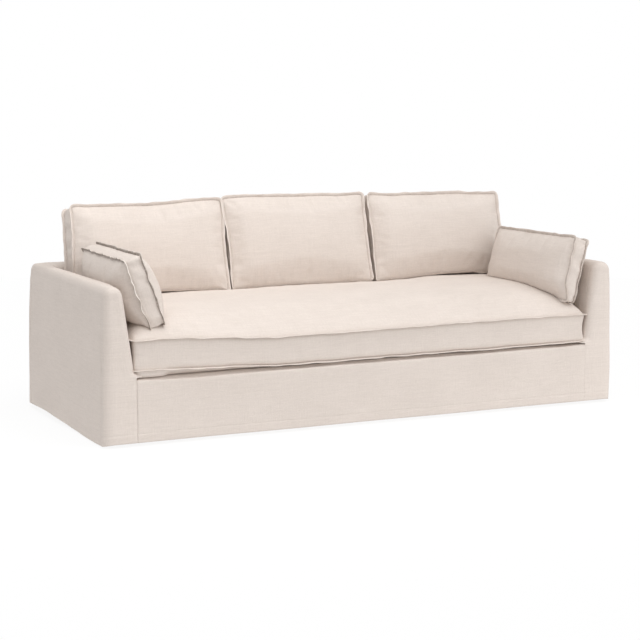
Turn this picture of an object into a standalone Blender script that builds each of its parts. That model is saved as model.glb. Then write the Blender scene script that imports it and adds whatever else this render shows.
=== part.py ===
# A slipcover set for a three-seat sofa: a loose body cover, sewn from cut panels,
# one long seat cushion, three back cushions and two arm pillows, all with flanged seams.
# The sofa inside the cover is left out, so the body cover is hollow.
# Lengths are metres. Shapes are worked out from the front left hem corner:
# X runs along the front, Y towards the back, Z up from the front hem.

import math

import bmesh
import bpy
from mathutils import Matrix, Vector

# The covered sofa
WIDTH = 2.44
DEPTH = 1.053
ARM_HEIGHT = 0.640
DECK_HEIGHT = 0.262
ARM_BASE = 0.140        # arm thickness from the deck down
ARM_SLOPE = 0.145       # how much the inner face leans out, per metre of height
BACK_FACE = 0.920       # front of the back frame, from the front hem
FLARE = 0.011           # how far the side hems stand out beyond the top
HEM_DIP = 0.008         # how far the side hems hang below the front one, at most
OFF_CENTRE = 0.0043     # middle of the bounding box, right of the middle of the width, as the right side bellies out

# The cloth
CLOTH = 0.0025
SEAM = 0.0005           # gap between two panels sewn edge to edge
RESTING = 0.0004        # gap between a cushion and what it lies on

# The cloth's loose waves
SIDE_WAVE = 0.0022      # on the sides, with its waves per metre of depth, in radians
SIDE_RIPPLE = 11
END_WAVE = 0.0020       # on the front and the rear, with its waves per metre of width
END_RIPPLE = 8.3
LOOSENESS = 1.5         # how fast the waves fade with height
# Height of the side hems: depth from the front, height
SIDE_HEM = [(0, -0.003), (0.03, -HEM_DIP), (0.12, -HEM_DIP), (0.27, -0.007), (0.35, -0.004), (0.43, -0.003),
            (0.5, 0.001), (0.6, 0.005), (0.68, 0.009), (0.76, 0.012), (0.85, 0.011), (0.94, 0.0075), (1.06, 0.005)]
# How far the outer sides belly out: height, distance. The left one does so more towards the rear.
LEFT_BELLY = [(0, 0.003), (0.2, 0.0045), (0.3, 0.003), (0.42, 0.0015), (0.49, -0.001), (0.565, -0.0035),
              (0.60, -0.009), (0.64, -0.0105)]
RIGHT_BELLY = [(0, 0.008), (0.15, 0.014), (0.45, 0.014), (0.56, 0.011), (0.64, 0.004)]
LEFT_SLOUCH = 0.004     # how far an arm's top falls towards its outer side
RIGHT_SLOUCH = 0.014
SLOUCH_WIDTH = 0.09
SLOUCH_RUN = 0.12       # height below the top over which it does so

# Padded edges of the arms and the back
EDGE_RADIUS = 0.028
OUTER_CORNER = 0.032    # corner of the arm's outline, outer side
INNER_CORNER = 0.024    # inner side, along the arm
FRONT_CORNER = 0.042    # inner side, at the arm's front
CORNER_RUN = 0.1        # stretch of arm over which the front corner turns into the inner one
CORNER_END = 0.04       # and over which that one ends at the back frame
SHARP = 0.0001          # radius of a corner that isn't rounded
CROTCH = 0.03           # height above the deck over which the arm's inner edge gets round
RETURN = 0.045          # how far the end panels turn round their edges
ARC_STEP = 0.586        # share of a radius at which a quarter round is cut
INNER_SEAM = 0.585      # height of the seam between the arm's top and inner face
RAIL_RADIUS = 0.014

# Flanged seams of the cushions
LIP_THICKNESS = 0.004
LINEN = (0.72, 0.66, 0.59, 1)
LINEN_ROUGHNESS = 0.9

# Steps in the panels' meshes
HEM_STEPS = 5           # up a wall to the deck's height
WALL_STEPS = 4          # and from there to the inner seam
ARM_STEPS = 7           # along an arm
REAR_STEPS = 9          # across the rear panel
RAIL_STEPS = 14         # across the front rail
RAIL_ROWS = 4           # up it
BACK_STEPS = 10         # across the inside back
BACK_ROWS = 4           # up it


def ease(value):
    value = min(max(value, 0), 1)
    return value * value * (3 - 2 * value)


def mix(start, end, share):
    return start + (end - start) * share


def steps(start, end, count):
    return [mix(start, end, step / count) for step in range(count + 1)]


def between(value, table):
    """The height at a place, from a table of (place, height) rows."""
    for (low, low_height), (high, high_height) in zip(table, table[1:]):
        if value <= high:
            return mix(low_height, high_height, max(0, (value - low) / (high - low)))
    return table[-1][1]


# ---------------------------------------------------------------- materials and objects

def linen(name):
    material = bpy.data.materials.new(name)
    material.use_nodes = True
    shader = material.node_tree.nodes["Principled BSDF"]
    shader.inputs["Base Color"].default_value = LINEN
    shader.inputs["Roughness"].default_value = LINEN_ROUGHNESS
    shader.inputs["Metallic"].default_value = 0
    material.diffuse_color = LINEN
    return material


def add_object(name, shape, collection, origin):
    """Turn a bmesh into a named piece with its own linen."""
    mesh = bpy.data.meshes.new(name)
    shape.to_mesh(mesh)
    shape.free()
    mesh.shade_smooth()
    mesh.set_sharp_from_angle(angle=math.radians(40))
    mesh.materials.append(linen(name))
    piece = bpy.data.objects.new(name, mesh)
    piece.parent = origin
    collection.objects.link(piece)
    return piece


def add_panel(name, shape, facing, scene):
    """Turn an open surface that faces a way into a cloth sheet, thickened behind that face."""
    shape.normal_update()
    towards = sum(face.normal.dot(Vector(facing)) * face.calc_area() for face in shape.faces)
    if towards < 0:
        bmesh.ops.reverse_faces(shape, faces=shape.faces)
    piece = add_object(name, shape, *scene)
    solid = piece.modifiers.new("Cloth", "SOLIDIFY")
    solid.thickness = CLOTH
    solid.offset = -1
    solid.use_even_offset = True


# ---------------------------------------------------------------- shape of the padded frame

def arm_inner(z):
    """Inner face of the left arm, from the left hem."""
    return ARM_BASE - ARM_SLOPE * max(z - DECK_HEIGHT, 0)


def slack(x, y, z):
    """The cloth's loose waves, which grow towards the hems."""
    loose = (1 - min(z / ARM_HEIGHT, 1)) ** LOOSENESS
    side = 1 - ease(min(x, WIDTH - x) / RETURN)
    end = 1 - ease(min(y, DEPTH - y) / RETURN)
    sideways = SIDE_WAVE * side * math.sin(SIDE_RIPPLE * y + x)
    endways = END_WAVE * end * math.sin(END_RIPPLE * x + 1)
    out_y = -1 if y < DEPTH / 2 else 1
    if x < WIDTH / 2:
        out_x, belly, slouch = -1, between(z, LEFT_BELLY) * y / DEPTH, LEFT_SLOUCH
    else:
        out_x, belly, slouch = 1, between(z, RIGHT_BELLY), RIGHT_SLOUCH
    lift = between(y, SIDE_HEM) * side * loose
    lift -= slouch * max(1 - min(x, WIDTH - x) / SLOUCH_WIDTH, 0) * ease(1 - (ARM_HEIGHT - z) / SLOUCH_RUN)
    return Vector((x + out_x * (sideways * loose + belly * side), y + out_y * endways * loose, z + lift))


def round_over(side_gap, face_gap, radius):
    """Carry a point on the square edge of a side and a face to a quarter round."""
    side_lack = max(radius - side_gap, 0)
    face_lack = max(radius - face_gap, 0)
    if side_lack == 0 or face_lack == 0:
        return side_gap, face_gap
    scale = radius / math.hypot(side_lack, face_lack)
    return radius - side_lack * scale, radius - face_lack * scale


def bend_outline(across, z, span, left, right, gap, shift):
    """Round the two top corners of an arched outline and move a point in by shift."""
    for corner, sign, start in ((left, -1, 0), (right, 1, span)):
        over = sign * (across - start) + corner
        up = z - ARM_HEIGHT + corner
        if over > 0 and up > 0:
            scale = (corner - gap - shift) / math.hypot(over, up)
            return start + sign * (over * scale - corner), ARM_HEIGHT - corner + up * scale
    if ARM_HEIGHT - z <= min(across, span - across):
        return across, z - shift
    return across + (shift if across < span - across else -shift), z


def padded_point(across, inward, z, span, left, right, inner_free):
    """A point on a square-edged end of a padded block, carried to its soft form. across runs
    from the outer side, inward from the end face. Where inner_free is 1 the side at the far
    end of the span has a rounded edge of its own, and where it is 0 a seam."""
    inner_gap = max(span - across, EDGE_RADIUS * (1 - inner_free))
    gap = min(across, inner_gap, ARM_HEIGHT - z)
    new_gap, inward = round_over(gap, inward, EDGE_RADIUS)
    across, z = bend_outline(across, z, span, left, right, gap, new_gap - gap)
    return across, inward, z


def block(low, high, x_cuts, y_cuts, z_cuts):
    """A box cut along planes, so that it can be bent."""
    shape = bmesh.new()
    bmesh.ops.create_cube(shape, size=1)
    size = [end - start for start, end in zip(low, high)]
    middle = [(end + start) / 2 for start, end in zip(low, high)]
    bmesh.ops.scale(shape, vec=size, verts=shape.verts)
    bmesh.ops.translate(shape, vec=middle, verts=shape.verts)
    for axis, cuts in enumerate((x_cuts, y_cuts, z_cuts)):
        normal = [1 if index == axis else 0 for index in range(3)]
        for cut in cuts:
            point = [cut * value for value in normal]
            everything = shape.verts[:] + shape.edges[:] + shape.faces[:]
            bmesh.ops.bisect_plane(shape, geom=everything, plane_co=point, plane_no=normal)
    return shape


def keep_faces(shape, wanted):
    spare = [face for face in shape.faces if not wanted(face.calc_center_median(), face.normal)]
    bmesh.ops.delete(shape, geom=spare, context="FACES")


def edge_cuts(low, high):
    """Cuts that let both ends of a stretch be rounded."""
    offsets = (EDGE_RADIUS * ARC_STEP, EDGE_RADIUS)
    return [low + offset for offset in offsets] + [high - offset for offset in offsets]


# ---------------------------------------------------------------- body cover

ARM_SPAN = ARM_BASE - ARM_SLOPE * (ARM_HEIGHT - DECK_HEIGHT)
TOP_CUTS = [ARM_HEIGHT - FRONT_CORNER, ARM_HEIGHT - EDGE_RADIUS, ARM_HEIGHT - EDGE_RADIUS * ARC_STEP]
WALL_CUTS = steps(0, DECK_HEIGHT, HEM_STEPS)[1:] + steps(DECK_HEIGHT, INNER_SEAM, WALL_STEPS)[1:]


def on_arm(side, across, y, z):
    """Place a point of the straight arm block on the leaning, flared left or right arm."""
    outer = FLARE * z / ARM_HEIGHT
    x = mix(outer, arm_inner(z), across / ARM_SPAN)
    point = slack(x, y, z)
    if side == "right":
        point.x = WIDTH - point.x
    return point


def arm_corner(y):
    """Radius of the arm's inner top corner: widest at the front, none at the back frame."""
    radius = mix(FRONT_CORNER, INNER_CORNER, ease((y - EDGE_RADIUS) / CORNER_RUN))
    return radius * ease((BACK_FACE - y) / CORNER_END) + SHARP


def arm_panel(name, side, y_range, y_cuts, z_range, wanted, facing, scene):
    shape = block((0, y_range[0], z_range[0]), (ARM_SPAN, y_range[1], z_range[1]),
                  edge_cuts(0, ARM_SPAN), y_cuts, WALL_CUTS + TOP_CUTS)
    keep_faces(shape, wanted)
    for vert in shape.verts:
        across, y, z = vert.co
        free = ease((z - DECK_HEIGHT) / CROTCH)
        across, y, z = padded_point(across, y, z, ARM_SPAN, OUTER_CORNER, arm_corner(y), free)
        vert.co = on_arm(side, across, y, z)
    add_panel(name, shape, facing, scene)


def build_arm(side, scene):
    half_seam = SEAM / 2

    def front_faces(middle, normal):
        on_front = middle.y < half_seam
        inner_side = normal.x > 0.5 and middle.z > DECK_HEIGHT
        return on_front or normal.x < -0.5 or normal.z > 0.5 or inner_side

    def outside_faces(middle, normal):
        along_seat = middle.z > INNER_SEAM and middle.y < BACK_FACE + EDGE_RADIUS
        return normal.x < -0.5 or normal.z > 0.5 or (normal.x > 0.5 and along_seat)

    def inside_faces(middle, normal):
        return normal.x > 0.5 and middle.z > DECK_HEIGHT

    out_x = -1 if side == "left" else 1
    arm_panel("arm_front_" + side, side, (0, RETURN - half_seam),
              [EDGE_RADIUS * ARC_STEP, EDGE_RADIUS], (0, ARM_HEIGHT), front_faces, (0, -1, 0), scene)
    long_cuts = steps(RETURN, BACK_FACE, ARM_STEPS)[1:]
    long_cuts += [2 * RETURN, BACK_FACE + EDGE_RADIUS]
    arm_panel("outside_arm_" + side, side, (RETURN + half_seam, DEPTH - RETURN - half_seam),
              long_cuts, (0, ARM_HEIGHT), outside_faces, (out_x, 0, 0), scene)
    arm_panel("inside_arm_" + side, side, (RETURN + half_seam, BACK_FACE - SEAM), long_cuts[:-1],
              (DECK_HEIGHT + SEAM, INNER_SEAM - SEAM), inside_faces, (-out_x, 0, 0), scene)


def build_outside_back(scene):
    """The rear panel turns round both rear edges and the top edge."""
    low, high = (0, 0, 0), (WIDTH, RETURN - SEAM / 2, ARM_HEIGHT)
    across_cuts = edge_cuts(0, WIDTH) + steps(ARM_SPAN, WIDTH - ARM_SPAN, REAR_STEPS)
    shape = block(low, high, across_cuts, [EDGE_RADIUS * ARC_STEP, EDGE_RADIUS], WALL_CUTS + TOP_CUTS)
    keep_faces(shape, lambda middle, normal: normal.y < 0.5 and normal.z > -0.5)
    for vert in shape.verts:
        across, inward, z = padded_point(*vert.co, WIDTH, OUTER_CORNER, OUTER_CORNER, 1)
        outer = FLARE * z / ARM_HEIGHT
        x = mix(outer, WIDTH - outer, across / WIDTH)
        vert.co = slack(x, DEPTH - inward, z)
    add_panel("outside_back", shape, (0, 1, 0), scene)


def panel_grid(columns, profile, place):
    """A grid with a column for each place along the panel and a row for each profile point."""
    shape = bmesh.new()
    wide, high = len(columns) - 1, len(profile) - 1
    bmesh.ops.create_grid(shape, x_segments=wide, y_segments=high, size=0.5)
    for vert in shape.verts:
        column = columns[round((vert.co.x + 0.5) * wide)]
        y, z = profile[round((vert.co.y + 0.5) * high)]
        vert.co = place(column, y, z)
    return shape


def quarter_round(y, z, radius, count):
    """Points up a vertical face and over a quarter round to a level one, from its foot."""
    turns = steps(0, math.pi / 2, count)
    return [(y + radius * (1 - math.cos(turn)), z - radius * (1 - math.sin(turn))) for turn in turns]


def build_front_rail(scene):
    profile = [(0, z) for z in steps(0, DECK_HEIGHT - RETURN, RAIL_ROWS)]
    profile += quarter_round(0, DECK_HEIGHT, RAIL_RADIUS, 3)
    profile.append((RETURN - SEAM, DECK_HEIGHT))

    def place(share, y, z):
        edge = ARM_BASE + SEAM
        return slack(mix(edge, WIDTH - edge, share), y, z)

    shape = panel_grid(steps(0, 1, RAIL_STEPS), profile, place)
    add_panel("front_rail", shape, (0, -1, 0), scene)


def build_seat_deck(scene):
    """The flat panel under the seat cushion. Its underside lies on the sofa's frame."""
    edge = ARM_BASE + SEAM
    shape = bmesh.new()
    bmesh.ops.create_cube(shape, size=1)
    length = BACK_FACE - RETURN - SEAM
    bmesh.ops.scale(shape, vec=(WIDTH - 2 * edge, length, CLOTH), verts=shape.verts)
    middle = (WIDTH / 2, RETURN + length / 2, DECK_HEIGHT - CLOTH / 2)
    bmesh.ops.translate(shape, vec=middle, verts=shape.verts)
    add_object("seat_deck", shape, *scene)


def build_inside_back(scene):
    profile = [(BACK_FACE, z) for z in steps(DECK_HEIGHT + SEAM, ARM_HEIGHT - RETURN, BACK_ROWS)]
    profile += quarter_round(BACK_FACE, ARM_HEIGHT, EDGE_RADIUS, 4)
    profile.append((DEPTH - RETURN - SEAM, ARM_HEIGHT))

    def place(share, y, z):
        edge = arm_inner(z) + SEAM
        return Vector((mix(edge, WIDTH - edge, share), y, z))

    shape = panel_grid(steps(0, 1, BACK_STEPS), profile, place)
    add_panel("inside_back", shape, (0, -1, 0), scene)


# ---------------------------------------------------------------- cushions

def flanged_box(length, width, band, columns, rows):
    """A boxed cushion laid flat, square and unfilled, with a lip along both edges of its band.
    The lips' tips are returned with the shape."""
    half = band / 2
    x_cuts = [length / 2 * share for share in columns]
    y_cuts = [width / 2 * share for share in rows]
    z_cuts = [half - LIP_THICKNESS, 0, LIP_THICKNESS - half]
    shape = block((-length / 2, -width / 2, -half), (length / 2, width / 2, half), x_cuts, y_cuts, z_cuts)
    ring = [face for face in shape.faces
            if abs(face.normal.z) < 0.5 and abs(face.calc_center_median().z) > half - LIP_THICKNESS]
    grown = bmesh.ops.extrude_face_region(shape, geom=ring)
    bmesh.ops.delete(shape, geom=ring, context="FACES_ONLY")
    tips = {item for item in grown["geom"] if isinstance(item, bmesh.types.BMVert)}
    return shape, tips


def crown_share(style, across, along):
    """How far a cushion is filled, from 0 at its seams to 1: across and along run from -1 to 1."""
    fullness = style["fullness"] if along < 0 else style["rear_fullness"]
    end_fullness = mix(style["end_fullness"], style["rear_end_fullness"], ease((along + 1) / 2))
    crown = (1 - abs(across) ** end_fullness) * (1 - abs(along) ** fullness)
    return max(crown, 0) ** style["swell"]


def build_cushion(name, style, frame, scene, settle):
    """Fill out a flanged box: crown, drawn-in sides, wavy lips. frame carries it to its place,
    and settle moves its points clear of what it lies on."""
    length, width, band = style["length"], style["width"], style["band"]
    shape, tips = flanged_box(length, width, band, style["columns"], style["rows"])
    for vert in shape.verts:
        x, y, z = vert.co
        across, along = 2 * x / length, 2 * y / width
        end, side = abs(across) > 0.999, abs(along) > 0.999
        crown = crown_share(style, across, along)
        drawn = style["draw_in"]
        if end:
            x -= math.copysign(drawn * (1 - along * along), across)
        if side:
            y -= math.copysign(drawn * (1 - across * across), along)
        if vert in tips:
            lip = style["lip"]
            wave = style["wave"] * math.sin(style["ripple"] * (x + 1.7 * y) + math.copysign(1, z))
            x += math.copysign(style["end_lip"], across) * end
            y += math.copysign(lip, along) * side
            z += wave
        elif abs(z) < band / 4:
            x += math.copysign(style["band_bulge"], across) * end
            y += math.copysign(style["band_bulge"], along) * side
        elif z > 0:
            z += style["crown"] * crown
        else:
            z -= style["under_crown"] * crown
        vert.co = settle(frame @ Vector((x, y, z)))
    add_object(name, shape, *scene)


SEAT = {
    "length": 2.177, "width": 0.890, "band": 0.124, "crown": 0.110, "under_crown": 0.024,
    "columns": [-0.985, -0.95, -0.9, -0.83, -0.73, -0.6, -0.45, -0.3, -0.15, 0,
                0.15, 0.3, 0.45, 0.6, 0.73, 0.83, 0.9, 0.95, 0.985],
    "rows": [-0.955, -0.86, -0.7, -0.45, -0.15, 0.15, 0.45, 0.7, 0.88],
    "fullness": 2.7, "rear_fullness": 6, "end_fullness": 16, "rear_end_fullness": 16, "swell": 0.52,
    "draw_in": 0.004, "lip": 0.013, "end_lip": 0.006, "wave": 0.0015, "ripple": 31, "band_bulge": -0.003,
}
SEAT_FRONT = 0.012      # band of the seat cushion, behind the front hem
# Heights of the seat cushion's two flanges along its front: place, height
SEAT_TOP_FLANGE = [(0.12, 0.416), (0.25, 0.4165), (0.42, 0.411), (0.51, 0.4065), (0.60, 0.398), (0.70, 0.393),
                   (0.80, 0.392), (1.20, 0.393), (1.50, 0.395), (1.75, 0.398), (2.00, 0.399), (2.31, 0.394)]
SEAT_LOW_FLANGE = [(0.12, 0.292), (0.25, 0.291), (0.42, 0.283), (0.60, 0.2755), (0.78, 0.2685), (0.90, 0.2675),
                   (2.10, 0.2675), (2.31, 0.271)]
SEAT_REAR_TOP = 0.410   # and along its rear
SEAT_REAR_LOW = 0.284

BACK_CUSHION = {
    "length": 0.705, "band": 0.104, "crown": 0.052, "under_crown": 0.060,
    "columns": [-0.95, -0.82, -0.64, -0.43, -0.21, 0, 0.21, 0.43, 0.64, 0.82, 0.95],
    "rows": [-0.92, -0.72, -0.45, -0.15, 0.15, 0.45, 0.72, 0.92],
    "fullness": 3, "rear_fullness": 3, "end_fullness": 3.4, "rear_end_fullness": 3.4, "swell": 0.6,
    "draw_in": 0.006, "lip": 0.010, "end_lip": 0.010, "wave": 0.0025, "ripple": 39, "band_bulge": 0.003,
}
BACK_CUSHION_LEAN = 15
BACK_CUSHION_PLACE = 0.806
# Cushion, its middle along the front, foot and top of its band, how far its foot spreads to the left,
# and how far its corners stay above the seat cushion's crown, which is flatter between its own corners
BACK_CUSHIONS = [("left", 0.489, 0.500, 0.902, 0.024, 0.0018), ("middle", 1.219, 0.506, 0.910, 0, 0.0012),
                 ("right", 1.953, 0.506, 0.903, 0, 0.0017)]

PILLOW = {
    "length": 0.605, "band": 0.066, "crown": 0.060, "under_crown": 0.060,
    "columns": [-0.95, -0.82, -0.62, -0.37, -0.12, 0.12, 0.37, 0.62, 0.82, 0.95],
    "rows": [-0.88, -0.6, -0.2, 0.2, 0.6, 0.88],
    "fullness": 3, "rear_fullness": 3, "end_fullness": 5, "rear_end_fullness": 5, "swell": 0.6,
    "draw_in": 0.003, "lip": 0.010, "end_lip": 0.010, "wave": 0.0035, "ripple": 47, "band_bulge": 0.003,
}
# Pillow, its middle, width, lean towards its arm and turn in degrees, and its corners' height above the seat
PILLOWS = [("left", (0.2085, 0.350, 0.603), 0.298, 20, -2, 0.0016),
           ("right", (2.2400, 0.335, 0.6000), 0.284, -14.5, 2.9, 0.0021)]
SIDE_CLEARANCE = 0.0030     # between a cushion's corners and the arms


def seat_height(x, y, over_low):
    """Height of the seat cushion at a share of its band, 0 at the low flange and 1 at the top one."""
    behind = ease(2 * y / SEAT["width"])
    top = mix(between(x, SEAT_TOP_FLANGE), SEAT_REAR_TOP, behind)
    low = mix(between(x, SEAT_LOW_FLANGE), SEAT_REAR_LOW, behind)
    return mix(low, top, over_low)


def seat_top(x, y):
    """Height of the seat cushion's crowned top."""
    across = 2 * (x - WIDTH / 2) / SEAT["length"]
    along = 2 * (y - SEAT_FRONT) / SEAT["width"] - 1
    if max(abs(across), abs(along)) > 1:
        return DECK_HEIGHT
    return seat_height(x, y, 1 + SEAT["crown"] / SEAT["band"] * crown_share(SEAT, across, along))


def above_seat(point, clearance):
    point.z = max(point.z, seat_top(point.x, point.y) + clearance)
    return point


def between_arms(point):
    if point.z < ARM_HEIGHT + SIDE_CLEARANCE:
        inner = arm_inner(point.z) + SIDE_CLEARANCE
        point.x = min(max(point.x, inner), WIDTH - inner)
    return point


def build_seat_cushion(scene):
    middle = SEAT_FRONT + SEAT["width"] / 2
    frame = Matrix.Translation((WIDTH / 2, middle, 0))

    def settle(point):
        """Follow the uneven flange heights, and rest flat on the deck."""
        height = seat_height(point.x, point.y, point.z / SEAT["band"] + 0.5)
        return between_arms(Vector((point.x, point.y, max(height, DECK_HEIGHT + RESTING))))

    build_cushion("seat_cushion", SEAT, frame, scene, settle)


def build_back_cushions(scene):
    upright = Matrix.Rotation(math.radians(90 - BACK_CUSHION_LEAN), 4, "X")
    for name, along, foot, top, spread, clearance in BACK_CUSHIONS:
        height = (top - foot) / math.cos(math.radians(BACK_CUSHION_LEAN))
        style = dict(BACK_CUSHION, width=height)
        frame = Matrix.Translation((along, BACK_CUSHION_PLACE, (foot + top) / 2)) @ upright

        def settle(point):
            """Spread the foot, and lie on the seat cushion."""
            aside = ease(2 * (along - point.x) / BACK_CUSHION["length"])
            point.x -= spread * aside * (1 - ease((point.z - foot) / height))
            return above_seat(between_arms(point), clearance)

        build_cushion("back_cushion_" + name, style, frame, scene, settle)


def build_pillows(scene):
    on_edge = Matrix.Rotation(math.radians(90), 4, "Y") @ Matrix.Rotation(math.radians(90), 4, "Z")
    for name, middle, width, lean, turn, clearance in PILLOWS:
        frame = Matrix.Translation(middle) @ Matrix.Rotation(math.radians(turn), 4, "Z")
        frame = frame @ Matrix.Rotation(math.radians(-lean), 4, "Y") @ on_edge

        def settle(point):
            """Lie on the seat cushion, and keep off the arm."""
            return above_seat(between_arms(point), clearance)

        build_cushion("arm_pillow_" + name, dict(PILLOW, width=width), frame, scene, settle)


def build():
    for item in list(bpy.data.objects):
        bpy.data.objects.remove(item, do_unlink=True)
    collection = bpy.data.collections.new("sofa_slipcover")
    bpy.context.scene.collection.children.link(collection)
    origin = bpy.data.objects.new("slipcover_origin", None)
    origin.location = (-WIDTH / 2 - OFF_CENTRE, -DEPTH / 2, HEM_DIP)
    collection.objects.link(origin)
    scene = (collection, origin)
    for side in ("left", "right"):
        build_arm(side, scene)
    build_outside_back(scene)
    build_front_rail(scene)
    build_seat_deck(scene)
    build_inside_back(scene)
    build_seat_cushion(scene)
    build_back_cushions(scene)
    build_pillows(scene)


build()
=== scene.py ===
import math

import bpy
import numpy as np
from mathutils import Matrix, Vector, noise
from mathutils.bvhtree import BVHTree


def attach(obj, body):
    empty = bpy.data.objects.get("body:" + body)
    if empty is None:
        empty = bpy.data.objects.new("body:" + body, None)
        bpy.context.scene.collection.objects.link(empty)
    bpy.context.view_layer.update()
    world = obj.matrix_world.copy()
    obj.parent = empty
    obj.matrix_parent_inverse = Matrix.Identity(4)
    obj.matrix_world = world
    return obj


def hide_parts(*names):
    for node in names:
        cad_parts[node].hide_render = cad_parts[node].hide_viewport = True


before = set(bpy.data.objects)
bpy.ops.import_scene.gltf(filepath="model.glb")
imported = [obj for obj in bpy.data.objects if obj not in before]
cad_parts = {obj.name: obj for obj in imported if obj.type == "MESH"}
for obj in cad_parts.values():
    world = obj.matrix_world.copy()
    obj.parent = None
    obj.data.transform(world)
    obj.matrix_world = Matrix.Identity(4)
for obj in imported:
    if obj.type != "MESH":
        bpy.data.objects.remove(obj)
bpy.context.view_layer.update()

# the covered sofa, in metres from its front left hem corner: x right, y back, z up
sofa = {
    "width": 2.44,
    "depth": 1.053,
    "armHeight": 0.640,
    "deck": 0.262,          # top of the front rail and of the deck
    "armBase": 0.140,       # arm thickness from the deck down
    "armSlope": 0.145,      # lean of the inner face, per metre of height
    "backFace": 0.920,      # front of the back frame
    "flare": 0.011,         # how far the sides stand out at the hem, past their top
    "hemDip": 0.008,        # how far the side hems hang below the front one, at most
    "offCentre": 0.0043,    # middle of the bounding box, right of the middle of the width
    "edge": 0.028,          # radius of the padded edges
    "outerCorner": 0.032,   # radii of an end panel's upper corners
    "innerCorner": 0.024,
    "frontCorner": 0.042,   # the inner one at the very front
    "turn": 0.045,          # how far the end panels go round their edges
    "innerSeam": 0.585,     # height of the seam on the arm's inner face
    "railEdge": 0.009,      # radius of the rail's upper edge
    "cloth": 0.0025,        # thickness
    "flush": 0.0004,        # width of the last faces beside a seam that hardly shows
}
armSpan = sofa["armBase"] - sofa["armSlope"] * (sofa["armHeight"] - sofa["deck"])   # arm thickness at the top
toFrame = Vector((-sofa["width"] / 2 - sofa["offCentre"], -sofa["depth"] / 2, sofa["hemDip"]))
seedShift = (7.3, -3.1, 1.7)    # by how many waves a seed moves the unevenness


def ease(value):
    value = min(max(value, 0), 1)
    return value * value * (3 - 2 * value)


def mix(start, end, share):
    return start + (end - start) * share


def between(place, rows):
    # height at a place, from rows of place and height
    for (low, lowHeight), (high, highHeight) in zip(rows, rows[1:]):
        if place <= high:
            return mix(lowHeight, highHeight, max(0, (place - low) / (high - low)))
    return rows[-1][1]


def wander(place, seed, wave):
    # smooth unevenness from -1 to 1, with waves of that length in metres
    return noise.noise([along / wave + seed * shift for along, shift in zip(place, seedShift)])


class Wire:
    # a socket that can be used in sums, and from which further nodes are made
    def __init__(self, socket):
        self.socket = socket

    def node(self, kind, settings, inputs, output=0):
        # any node: its settings first, then the values or links of its sockets
        tree = self.socket.id_data
        made = tree.nodes.new(kind)
        for key, value in settings.items():
            setattr(made, key, value)
        for key, value in inputs.items():
            if isinstance(value, Wire):
                tree.links.new(value.socket, made.inputs[key])
            else:
                made.inputs[key].default_value = value
        return Wire(made.outputs[output])

    def maths(self, operation, *values):
        return self.node("ShaderNodeMath", {"operation": operation}, dict(enumerate(values)))

    def __add__(self, other):
        return self.maths("ADD", self, other)

    def __radd__(self, other):
        return self.maths("ADD", other, self)

    def __sub__(self, other):
        return self.maths("SUBTRACT", self, other)

    def __rsub__(self, other):
        return self.maths("SUBTRACT", other, self)

    def __mul__(self, other):
        return self.maths("MULTIPLY", self, other)

    def __rmul__(self, other):
        return self.maths("MULTIPLY", other, self)

    def sine(self):
        return self.maths("SINE", self)

    def between(self, low, high):
        # 0 at low, 1 at high, smoothly
        return self.node("ShaderNodeMapRange", {"interpolation_type": "SMOOTHSTEP"},
                         {"Value": self, "From Min": low, "From Max": high})

    def tint(self, start, end):
        # a colour between two, with this as the share
        return self.node("ShaderNodeMix", {"data_type": "RGBA"}, {0: self, 6: start, 7: end}, 2)

    def feed(self, shader, name):
        self.socket.id_data.links.new(self.socket, shader.inputs[name])


def newMaterial(name):
    material = bpy.data.materials.new(name)
    material.use_nodes = True
    shader = material.node_tree.nodes["Principled BSDF"]
    return material, shader, Wire(shader.outputs[0])


linen = {
    "light": (0.840, 0.752, 0.690, 1),
    "dark": (0.610, 0.534, 0.478, 1),
    "paintedRootShade": (0.30, 0.25, 0.215, 1),     # painted shade, deep in the groove between a lip and its cushion
    "paintedTipHighlight": (0.90, 0.83, 0.77, 1),    # painted highlight along a lip's tip
    "tone": 0.60,           # share of the light colour, and how much each kind of streak changes it
    "toneSlub": 0.08,
    "toneFine": 0.20,
    "toneFleck": 0.40,
    "toneBroad": 0.30,
    "toneCloud": 0.30,
    "thread": 0.0011,       # from one thread to the next
    "relief": 0.0005,       # height of the weave, its strength, and the shares in it
    "reliefShow": 0.6,
    "reliefThread": 0.5,
    "reliefSlub": 0.8,
    "reliefFine": 0.9,
    "roughness": 0.88,
    "slubShine": 0.05,
    "sheen": 0.10,
    "sheenRough": 0.6,
    "specular": 0.25,
    "slubWeft": (0.56, 0.70),           # where in the noise a thread grows thick, and where it grows thin
    "slubWarp": (0.57, 0.71),
    "thinWeft": (0.44, 0.30),
    "thinWarp": (0.43, 0.29),
    "ragged": (0.18, 0.50),
    "lipMap": 10.0,         # the lips lie this far up on the map, root first
    "lipStep": 0.0038,      # and one step of their outline is this far on it
    "lipRoot": (1.3, 2.9, 5.1, 6.7),    # where the root ends and begins again, in steps
    "lipTip": (2.7, 3.3, 4.7, 5.3),
}
# streaks of the cloth: along the weft, their width and length in metres, their place in the noise, its detail
streakKinds = {
    "weft": (True, 0.0034, 0.050, 0.3, 1.0),
    "warp": (False, 0.0034, 0.065, 5.1, 1.0),
    "fineWeft": (True, 0.00136, 0.025, 9.7, 1.0),
    "fineWarp": (False, 0.00136, 0.030, 14.2, 1.0),
    "broad": (True, 0.012, 0.11, 17.0, 2.0),
    "cloud": (True, 0.16, 0.22, 21.0, 2.0),
    "fleck": (True, 0.006, 0.009, 27.0, 2.0),
    "ragged": (False, 0.016, 0.007, 33.0, 1.0),
}


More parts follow.
